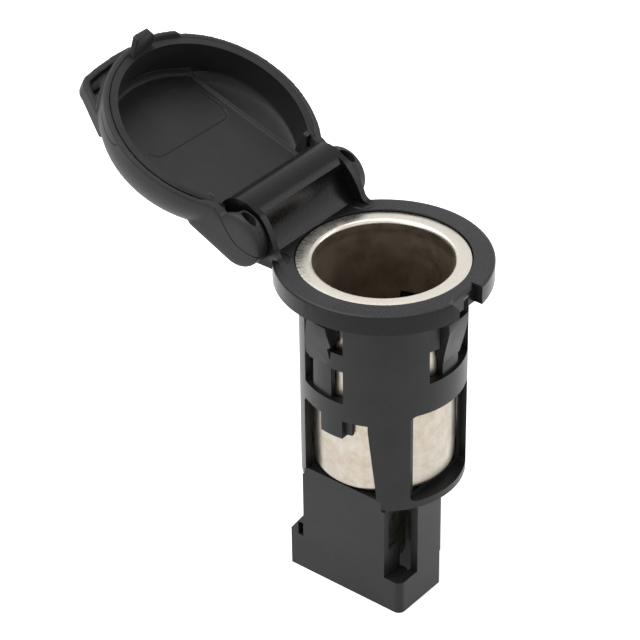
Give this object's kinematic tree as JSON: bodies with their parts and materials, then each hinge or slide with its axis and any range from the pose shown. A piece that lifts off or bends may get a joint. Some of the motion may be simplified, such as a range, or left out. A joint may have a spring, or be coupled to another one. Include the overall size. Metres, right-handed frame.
{
  "type": "car power socket",
  "caption": "Panel-mounted car power socket: a steel cup in a windowed snap-in housing, with a sprung-finger barrel, a blade connector and a hinged lid.",
  "frame": {"origin": "on the axis of the socket's bore, in the plane where the flange seats on the panel", "axes": "+Z along the bore, out of its mouth; +Y towards the lid's hinge; +X along the hinge axis"},
  "size_m": [0.0354, 0.0698, 0.0799],
  "materials": {
    "bezel": "semi-gloss",
    "lid_liner": "matte",
    "lid_cover": "matte soft touch",
    "hinge_pin": "plain",
    "housing": "satin",
    "socket_shell": "nickel plated, mottled",
    "contact_rivet": "plain",
    "contact_bush": "plain",
    "insulating_washer": "plain",
    "positive_terminal": "tinned",
    "clamp_washer": "plain",
    "ground_terminal": "tinned",
    "ground_rivet": "plain"
  },
  "bodies": {
    "socket": {"bezel": "bezel", "housing": "housing", "socket_shell": "socket_shell", "hinge_pin": "hinge_pin", "contact_rivet": "contact_rivet", "contact_bush": "contact_bush", "insulating_washer": "insulating_washer", "positive_terminal": "positive_terminal", "clamp_washer": "clamp_washer", "ground_terminal": "ground_terminal", "ground_rivet": "ground_rivet"},
    "lid": {"lid_liner": "lid_liner", "lid_cover": "lid_cover"}
  },
  "joints": [
    {"name": "lid_hinge", "type": "hinge", "parent": "socket", "child": "lid", "pos_m": [0, 0.0178, 0.00545], "axis": [1, 0, 0], "range_deg": [0, 152.8]}
  ]
}
